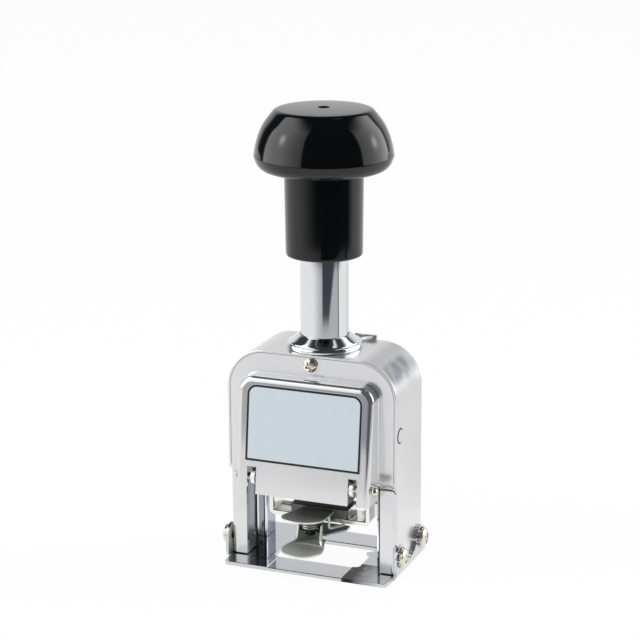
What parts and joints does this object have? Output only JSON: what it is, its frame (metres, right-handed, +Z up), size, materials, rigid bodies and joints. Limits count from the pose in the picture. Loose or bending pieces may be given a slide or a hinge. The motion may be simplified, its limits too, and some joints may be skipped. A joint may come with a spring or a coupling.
{
  "type": "automatic numbering machine",
  "caption": "Hand-operated numbering stamp: a sprung plunger drives type wheels through the base while the self-inking pad swings clear.",
  "frame": {"origin": "on the stem's axis, at the base plate's underside, midway between the base plate's four edges", "axes": "+Z up along the stem, -Y towards the front cover and ink pad, +X to the right seen from the front"},
  "size_m": [0.0732, 0.056, 0.17],
  "materials": {
    "casing_plate": "satin nickel plate, soft polish",
    "rails": "satin plate",
    "cover_plate": "polished nickel plate",
    "label": "satin, thin black border",
    "base_chrome": "mirror chrome",
    "stem_chrome": "polished chrome",
    "warm_steel": "warm nickel plate",
    "dark_steel": "dark oiled steel",
    "spring_steel": "spring wire",
    "olive_plate": "olive nickel plate",
    "frame_plate": "pale passivated plate",
    "black_knob": "high gloss",
    "brass": "plain",
    "felt": "inked felt"
  },
  "bodies": {
    "housing": {"casing": "casing_plate", "guide_rails": "rails", "front_cover": "cover_plate", "name_plate": "label", "front_cover_screw": "warm_steel", "rear_cover": "cover_plate", "rear_cover_screws": "warm_steel", "stem_collar": "stem_chrome", "base_plate": "base_chrome", "base_screws": "warm_steel", "base_screw_washers": "warm_steel", "pad_pivot_pin": "warm_steel", "spring_cross_pin": "warm_steel", "spring_seat": "dark_steel", "return_spring": "spring_steel", "feed_posts": "warm_steel", "selector_dial": "label", "lock_spring": "spring_steel"},
    "plunger": {"stem_tube": "stem_chrome", "stem_plug": "dark_steel", "knob": "black_knob", "knob_screw": "dark_steel", "carriage_yoke": "dark_steel", "carriage_plates": "rails", "carriage_screws": "dark_steel", "comb_rod": "rails", "wheel_shaft": "rails", "shaft_nuts": "warm_steel", "shaft_spacers": "dark_steel", "detent_comb": "brass"},
    "wheel_1": {"type_wheel_1": "dark_steel"},
    "wheel_2": {"type_wheel_2": "dark_steel"},
    "wheel_3": {"type_wheel_3": "dark_steel"},
    "wheel_4": {"type_wheel_4": "dark_steel"},
    "wheel_5": {"type_wheel_5": "dark_steel"},
    "feed": {"feed_frame": "frame_plate"},
    "pawl": {"feed_pawl": "brass"},
    "pad_arm": {"pad_frame": "frame_plate", "pad_drive_pins": "warm_steel"},
    "tray": {"pad_tray": "olive_plate", "ink_pad": "felt", "pad_clip": "spring_steel", "release_spring": "spring_steel"},
    "lever": {"release_lever": "olive_plate"},
    "lock": {"lock_button": "casing_plate"},
    "selector": {"selector_lever": "dark_steel", "selector_shaft": "warm_steel"}
  },
  "joints": [
    {"name": "plunger_slide", "type": "slide", "parent": "housing", "child": "plunger", "axis": [0, 0, -1], "range_m": [0, 0.0218], "stiffness_N_per_m": 900, "springref_m": -0.012, "deforming": ["return_spring"]},
    {"name": "wheel_1_turn", "type": "hinge", "parent": "plunger", "child": "wheel_1", "pos_m": [0, 0, 0.0315], "axis": [1, 0, 0], "continuous": true},
    {"name": "wheel_2_turn", "type": "hinge", "parent": "plunger", "child": "wheel_2", "pos_m": [0, 0, 0.0315], "axis": [1, 0, 0], "continuous": true},
    {"name": "wheel_3_turn", "type": "hinge", "parent": "plunger", "child": "wheel_3", "pos_m": [0, 0, 0.0315], "axis": [1, 0, 0], "continuous": true},
    {"name": "wheel_4_turn", "type": "hinge", "parent": "plunger", "child": "wheel_4", "pos_m": [0, 0, 0.0315], "axis": [1, 0, 0], "continuous": true},
    {"name": "wheel_5_turn", "type": "hinge", "parent": "plunger", "child": "wheel_5", "pos_m": [0, 0, 0.0315], "axis": [1, 0, 0], "continuous": true},
    {"name": "feed_rock", "type": "hinge", "parent": "plunger", "child": "feed", "pos_m": [0, 0, 0.0315], "axis": [1, 0, 0], "range_deg": [0, 36]},
    {"name": "pawl_lift", "type": "hinge", "parent": "feed", "child": "pawl", "pos_m": [0, 0.01003, 0.03879], "axis": [-1, 0, 0], "range_deg": [0, 10], "stiffness_Nm_per_rad": 0.01, "springref_deg": -22.92},
    {"name": "pad_swing", "type": "hinge", "parent": "housing", "child": "pad_arm", "pos_m": [0, -0.021, 0.036], "axis": [-1, 0, 0], "range_deg": [0, 75]},
    {"name": "tray_slide", "type": "slide", "parent": "pad_arm", "child": "tray", "axis": [0, -1, 0], "range_m": [0, 0.02]},
    {"name": "release_lift", "type": "slide", "parent": "tray", "child": "lever", "axis": [0, 0, 1], "range_m": [0, 0.002], "stiffness_N_per_m": 500, "springref_m": -0.002, "deforming": ["release_spring"]},
    {"name": "lock_press", "type": "slide", "parent": "housing", "child": "lock", "axis": [-1, 0, 0], "range_m": [0, 0.003], "stiffness_N_per_m": 300, "springref_m": -0.002, "deforming": ["lock_spring"]},
    {"name": "selector_turn", "type": "hinge", "parent": "housing", "child": "selector", "pos_m": [0, 0.0183, 0.052], "axis": [0, 1, 0], "range_deg": [-60, 60]}
  ],
  "couplings": [
    {"joint": "pad_swing", "follows": "plunger_slide", "rad_per_m": 60.04},
    {"joint": "feed_rock", "follows": "plunger_slide", "rad_per_m": 28.82}
  ]
}
